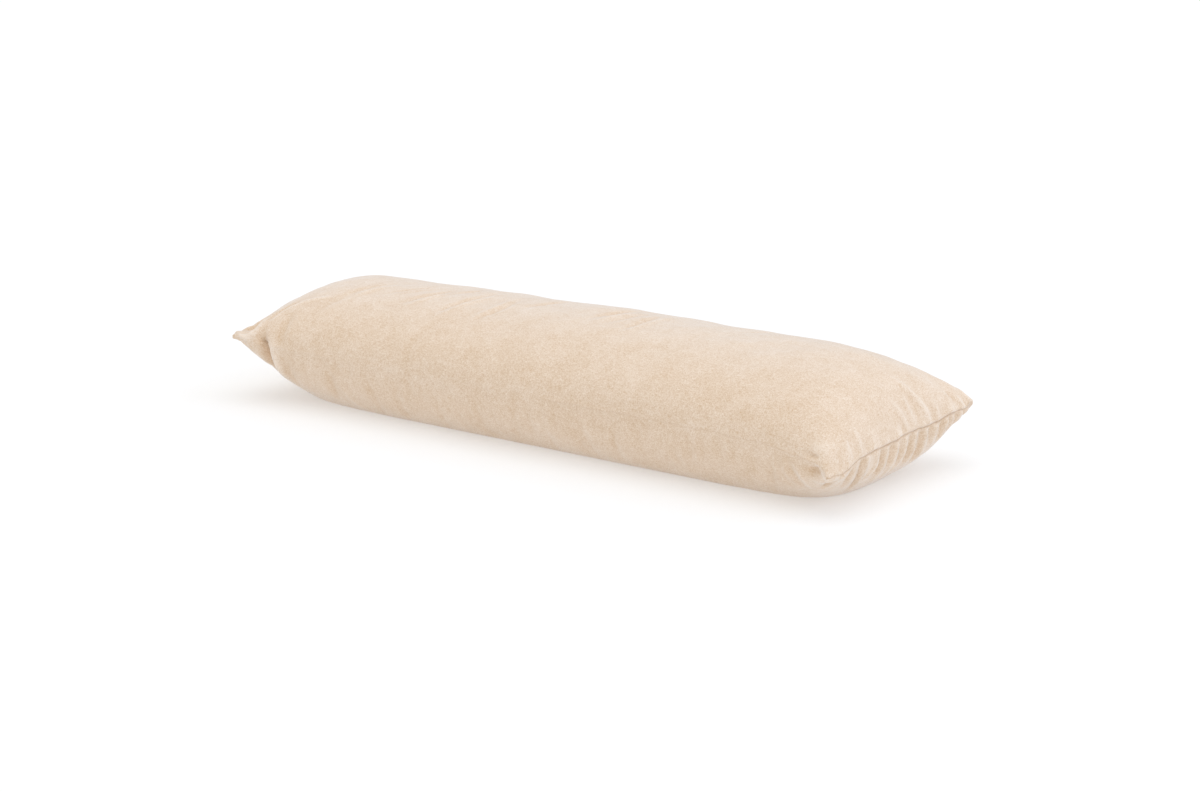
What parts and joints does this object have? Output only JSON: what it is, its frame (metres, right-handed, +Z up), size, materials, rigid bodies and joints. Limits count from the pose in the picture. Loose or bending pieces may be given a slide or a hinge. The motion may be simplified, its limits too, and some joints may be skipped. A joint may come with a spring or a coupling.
{
  "type": "long support pillow",
  "caption": "Long rectangular support pillow in brushed cloth, with a high crown, drawn-in sides, corner ears and puckers along its end seams.",
  "frame": {"origin": "bottom centre of the box round the pillow, on the surface that it lies on", "axes": "+X along the length towards the closure seam, +Y across towards the back side, +Z up"},
  "size_m": [1.3154, 0.4636, 0.2185],
  "materials": {
    "brushed_cloth": "pale beige brushed cotton, matt and slightly mottled, with a short nap"
  },
  "bodies": {
    "root": {"pillow": "brushed_cloth"}
  },
  "joints": []
}
